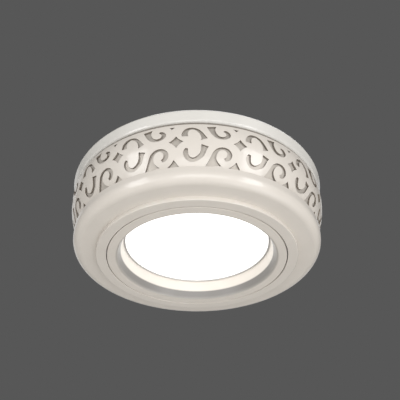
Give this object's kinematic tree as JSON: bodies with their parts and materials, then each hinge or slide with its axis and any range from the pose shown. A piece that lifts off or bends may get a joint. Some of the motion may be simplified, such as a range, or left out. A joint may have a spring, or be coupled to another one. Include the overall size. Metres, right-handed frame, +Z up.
{
  "type": "recessed ceiling spotlight",
  "caption": "Round recessed ceiling spotlight with a pierced scrollwork band, a stepped lower trim ring, a tilting lamp ring and sprung clips that hold it in a ceiling hole.",
  "frame": {"origin": "centre of the flange's upper face, which lies against the ceiling", "axes": "+Z up into the ceiling void along the light's axis, +X along the lamp's tilt axis through the right-hand clip, -Y the near side in the picture"},
  "size_m": [0.0874, 0.0874, 0.0572],
  "materials": {
    "white_enamel": "die-cast, satin white enamel",
    "backing_paint": "matt warm grey paint",
    "zinc_steel": "zinc plated",
    "spring_steel": "bright spring steel",
    "clip_rubber": "translucent soft sleeve",
    "frosted_lens": "frosted, lit",
    "lamp_metal": "satin aluminium",
    "board_white": "white solder mask",
    "board_green": "green solder mask",
    "led_chip": "phosphor",
    "base_plastic": "moulded",
    "pin_metal": "tinned",
    "holder_ceramic": "unglazed",
    "contact_brass": "plain"
  },
  "bodies": {
    "housing": {"ceiling_flange": "white_enamel", "fretwork_band": "white_enamel", "backing_sleeve": "backing_paint", "trim_ring": "white_enamel", "spacer_posts": "zinc_steel", "tie_screws": "zinc_steel", "pivot_keepers": "zinc_steel", "keeper_screws": "zinc_steel", "clip_pin_left": "zinc_steel", "clip_pin_right": "zinc_steel", "clip_spring_left": "spring_steel", "clip_spring_right": "spring_steel"},
    "tilting_lamp": {"gimbal_ring": "white_enamel", "pivot_pins": "zinc_steel", "lamp_circlip": "spring_steel", "lamp_lens": "frosted_lens", "lamp_shell": "lamp_metal", "led_board": "board_white", "led_emitters": "led_chip", "driver_board": "board_green", "lamp_base": "base_plastic", "lamp_pins": "pin_metal", "lampholder": "holder_ceramic", "lampholder_contacts": "contact_brass"},
    "clip_left": {"clip_arm_left": "spring_steel", "clip_pad_left": "clip_rubber"},
    "clip_right": {"clip_arm_right": "spring_steel", "clip_pad_right": "clip_rubber"}
  },
  "joints": [
    {"name": "ring_tilt", "type": "hinge", "parent": "housing", "child": "tilting_lamp", "pos_m": [0, 0, -0.0241], "axis": [1, 0, 0], "range_deg": [-20, 20]},
    {"name": "clip_left_fold", "type": "hinge", "parent": "housing", "child": "clip_left", "pos_m": [-0.0286, 0, 0.00555], "axis": [0, 1, 0], "range_deg": [0, 95], "stiffness_Nm_per_rad": 0.03, "springref_deg": -148.97, "deforming": ["clip_spring_left"]},
    {"name": "clip_right_fold", "type": "hinge", "parent": "housing", "child": "clip_right", "pos_m": [0.0286, 0, 0.00555], "axis": [0, -1, 0], "range_deg": [0, 95], "stiffness_Nm_per_rad": 0.03, "springref_deg": -148.97, "deforming": ["clip_spring_right"]}
  ]
}
